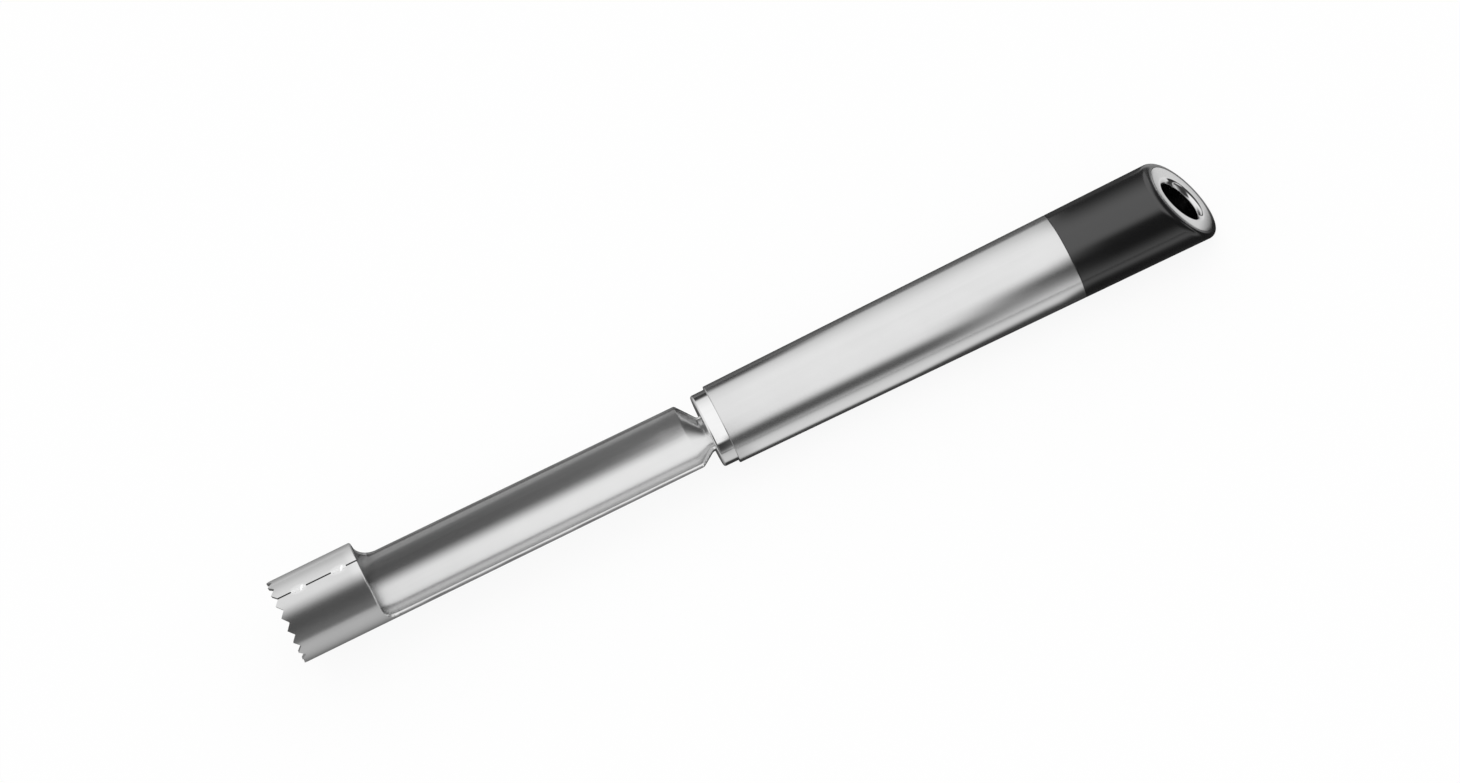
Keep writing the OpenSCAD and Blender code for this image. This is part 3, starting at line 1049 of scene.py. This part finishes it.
def add_floor(studio):
    """White floor under the tool, which shows the camera only a part of the shadow's depth."""
    low = min(SHELL_LOW.z, CAP_LOW.z, BLADE_LOW.z) - 0.05 * MM
    reach = 4
    corners = [(x * reach, y * reach, low) for x, y in ((-1, -1), (1, -1), (1, 1), (-1, 1))]
    made = mesh_object("floor", corners, [(0, 1, 2, 3)])
    material, tree = new_material("White floor")
    material.cycles.emission_sampling = "NONE"
    paint = tree.node("ShaderNodeBsdfDiffuse", {"Color": (0.95, 0.95, 0.95, 1)})
    white = tree.node("ShaderNodeEmission", {"Color": (1, 1, 1, 1)})
    # In the steel's gloss the floor shows a painted shadow beside the tool and a painted pool of light
    # behind the cap.
    in_gloss = tree.node("ShaderNodeEmission", {"Color": painted_floor_in_gloss(tree) * studio.light})
    seen = tree.node("ShaderNodeLightPath", output="Is Camera Ray")
    glossy = tree.node("ShaderNodeLightPath", output="Is Glossy Ray")
    mixed = tree.node("ShaderNodeMixShader", [seen * (1 - studio.shadow), paint, white])
    mixed = tree.node("ShaderNodeMixShader", [glossy, mixed, in_gloss])
    tree.show(mixed)
    made.data.materials.append(material)


def step(value, middle, soft):
    """Eased step from 0 to 1, half way up at the middle."""
    v = min(max((value - middle) / soft + 0.5, 0), 1)
    return v * v * (3 - 2 * v)


# The tent: its ends along X in metres, its two long edges as angles from the camera, and its mesh's counts
TENT_SPAN = (-1.2, 1.6, 140)
TENT_ARC = (radians(-56), radians(124), 180)
# Middles and widths of the steps in its light, along X in metres and round the tool as angles
GAP_ENDS, BLADE_TO_GRIP, FRONT_ENDS = (0.16, 0.06), (0.1, 0.08), (0.02, 0.12)
BEHIND = (radians(102), radians(60))
GAP_LOW_SOFT, GAP_HIGH_SOFT, GAP_DEPTH = radians(44), radians(9), 0.96
LOW_BY_BLADE, LOW_BY_GRIP, DIM_BEHIND, DIM_FRONT = 0.6, 0.9, 0.6, 0.82


def tent_light(studio, x, around):
    """Level of the tent at a place along X and an angle from the camera, and how solid it is there."""
    over_gap = step(around, studio.gap_high, GAP_HIGH_SOFT)
    gap = step(around, studio.gap_low, GAP_LOW_SOFT) * (1 - over_gap)
    gap *= 1 - step(x, *GAP_ENDS)
    below = between(between(LOW_BY_BLADE, LOW_BY_GRIP, step(x, *BLADE_TO_GRIP)), 1, over_gap)
    above = between(1, DIM_BEHIND, step(around, *BEHIND))
    front = between(DIM_FRONT, 1, step(x, *FRONT_ENDS))
    return studio.light * (1 - GAP_DEPTH * gap) * below * above * front, 1


# Dark cards near the tool: the angles of their two long edges from the camera and how soft these are, their
# ends along the tool in millimetres and how soft these are, and their level.
Card = namedtuple("Card", "name low low_soft high high_soft start start_soft end end_soft level")
CARDS = (
    Card("Blade card", -74, 70, 20, 44, -100, 2, 112, 2, 0.09),
    Card("Collar gap card", -58, 40, -22, 12, 112, 1, 117, 1, 0.02),
    Card("Grip card", -52, 28, -14, 28, 117, 1, 195, 36, 0.05),
    Card("Rear grip card", -38, 72, 8, 30, 195, 36, 224, 3, 0.03),
    Card("Collar card", 113, 12, 150, 10, 112, 1, 150, 36, 0.03),
    Card("Far card", 125, 8, 150, 10, 150, 36, 224, 3, 0.04),
    Card("Cap card", -46, 56, 20, 18, 224, 3, 430, 20, 0.03),
    Card("Cap far card", 92, 60, 150, 10, 224, 3, 300, 2, 0.05),
    Card("End card", -60, 20, 150, 10, 400, 60, 900, 10, 0.04),
)
CARD_STEP = 0.5 * MM
CARD_COLUMNS, CARD_ROWS = 200, 90
# Angle from the camera, in degrees, at which a card meets the floor
FLOOR_ANGLE = 131
# A card is paler towards the grip and low down: by how much, and these steps' middles and widths
CARD_PALER, PALER_ALONG, PALER_LOW = 0.6, (0.06, 0.1), (-35, 30)


def card_light(card, studio, x, around):
    """Level of a dark card, and how solid its soft edges are."""
    around = degrees(around)
    cover = step(around, card.low, card.low_soft) * (1 - step(around, card.high, card.high_soft))
    cover *= step(x / MM, card.start, card.start_soft) * (1 - step(x / MM, card.end, card.end_soft))
    pale = 1 + CARD_PALER * step(x, *PALER_ALONG) + CARD_PALER * (1 - step(around, *PALER_LOW))
    return studio.light * card.level * pale, cover


def add_screen(name, studio, radius, columns, angles, light_at):
    """Curved screen round the tool that only its gloss sees."""
    up, to_camera = view_axes(studio)
    points, levels, covers = [], [], []
    for x in columns:
        for around in angles:
            out = to_camera * cos(around) + up * sin(around)
            points.append((x, out.y * radius, out.z * radius))
            level, cover = light_at(studio, x, around)
            levels.append(level)
            covers.append(cover)
    faces, _ = sheet_faces([(0, angles)] * len(columns))
    made = mesh_object(name, points, faces)
    material, tree = new_material(name)
    values = []
    for kind, numbers in (("level", levels), ("cover", covers)):
        made.data.attributes.new(kind, "FLOAT", "POINT").data.foreach_set("value", numbers)
        values.append(tree.node("ShaderNodeAttribute", output="Fac", attribute_name=kind))
    material.cycles.emission_sampling = "NONE"
    glow = tree.node("ShaderNodeEmission", {"Color": values[0]})
    clear = tree.node("ShaderNodeBsdfTransparent")
    tree.show(tree.node("ShaderNodeMixShader", [values[1], clear, glow]))
    made.data.materials.append(material)
    for rays in ("camera", "diffuse", "shadow", "transmission"):
        setattr(made, "visible_" + rays, False)


class CORER_OT_studio(bpy.types.Operator):
    """Set the camera, the floor and the light"""

    bl_idname = "corer.studio"
    bl_label = "Studio"

    def execute(self, context):
        studio = sizes("studio")
        scene = context.scene
        scene.view_settings.view_transform = "Standard"
        add_camera(studio)
        add_floor(studio)
        add_screen("Tent", studio, studio.distance, spread(*TENT_SPAN), spread(*TENT_ARC), tent_light)
        for i, card in enumerate(CARDS):
            low, high = card.low - card.low_soft / 2, min(card.high + card.high_soft / 2, FLOOR_ANGLE)
            arc = spread(radians(low), radians(high), CARD_ROWS)
            first, last = card.start - card.start_soft / 2, card.end + card.end_soft / 2
            columns = [x * MM for x in spread(first, last, CARD_COLUMNS)]
            radius = studio.card_r + i * CARD_STEP
            add_screen(card.name, studio, radius, columns, arc, partial(card_light, card))
        world = bpy.data.worlds.new("Studio")
        world.use_nodes = True
        world.node_tree.nodes.clear()
        tree = Tree(world.node_tree)
        sky = tree.node("ShaderNodeBackground", {"Color": (1, 1, 1, 1), "Strength": studio.sky})
        tree.show(sky, "ShaderNodeOutputWorld")
        scene.world = world
        return {"FINISHED"}


class CORER_PT_panel(bpy.types.Panel):
    """Panel of the corer's sizes and steps"""

    bl_idname = "CORER_PT_panel"
    bl_label = "Apple corer"
    bl_space_type = "VIEW_3D"
    bl_region_type = "UI"
    bl_category = "Corer"

    def draw(self, context):
        for operator in STEPS:
            self.layout.operator(operator.bl_idname)
        for kind, group in GROUPS.items():
            box = self.layout.box()
            box.label(text=kind.capitalize())
            for name in group.__annotations__:
                box.prop(sizes(kind), name)


GROUPS = {
    "blade": BladeSizes,
    "grip": GripSizes,
    "cap": CapSizes,
    "eyelet": EyeletSizes,
    "finishes": Finishes,
    "studio": StudioSettings,
}
STEPS = (
    CORER_OT_studio,
    CORER_OT_blade,
    CORER_OT_welds,
    CORER_OT_collar,
    CORER_OT_shell,
    CORER_OT_cap,
    CORER_OT_eyelet,
    CORER_OT_hidden,
)


def register():
    for made in (*GROUPS.values(), *STEPS, CORER_PT_panel):
        bpy.utils.register_class(made)
    for kind, group in GROUPS.items():
        setattr(bpy.types.Scene, "corer_" + kind, bpy.props.PointerProperty(type=group))


def unregister():
    for kind in GROUPS:
        delattr(bpy.types.Scene, "corer_" + kind)
    for made in (CORER_PT_panel, *reversed(STEPS), *reversed(GROUPS.values())):
        bpy.utils.unregister_class(made)


def main():
    register()
    for operator in STEPS:
        getattr(bpy.ops.corer, operator.bl_idname.split(".")[1])()


if __name__ == "__main__":
    main()
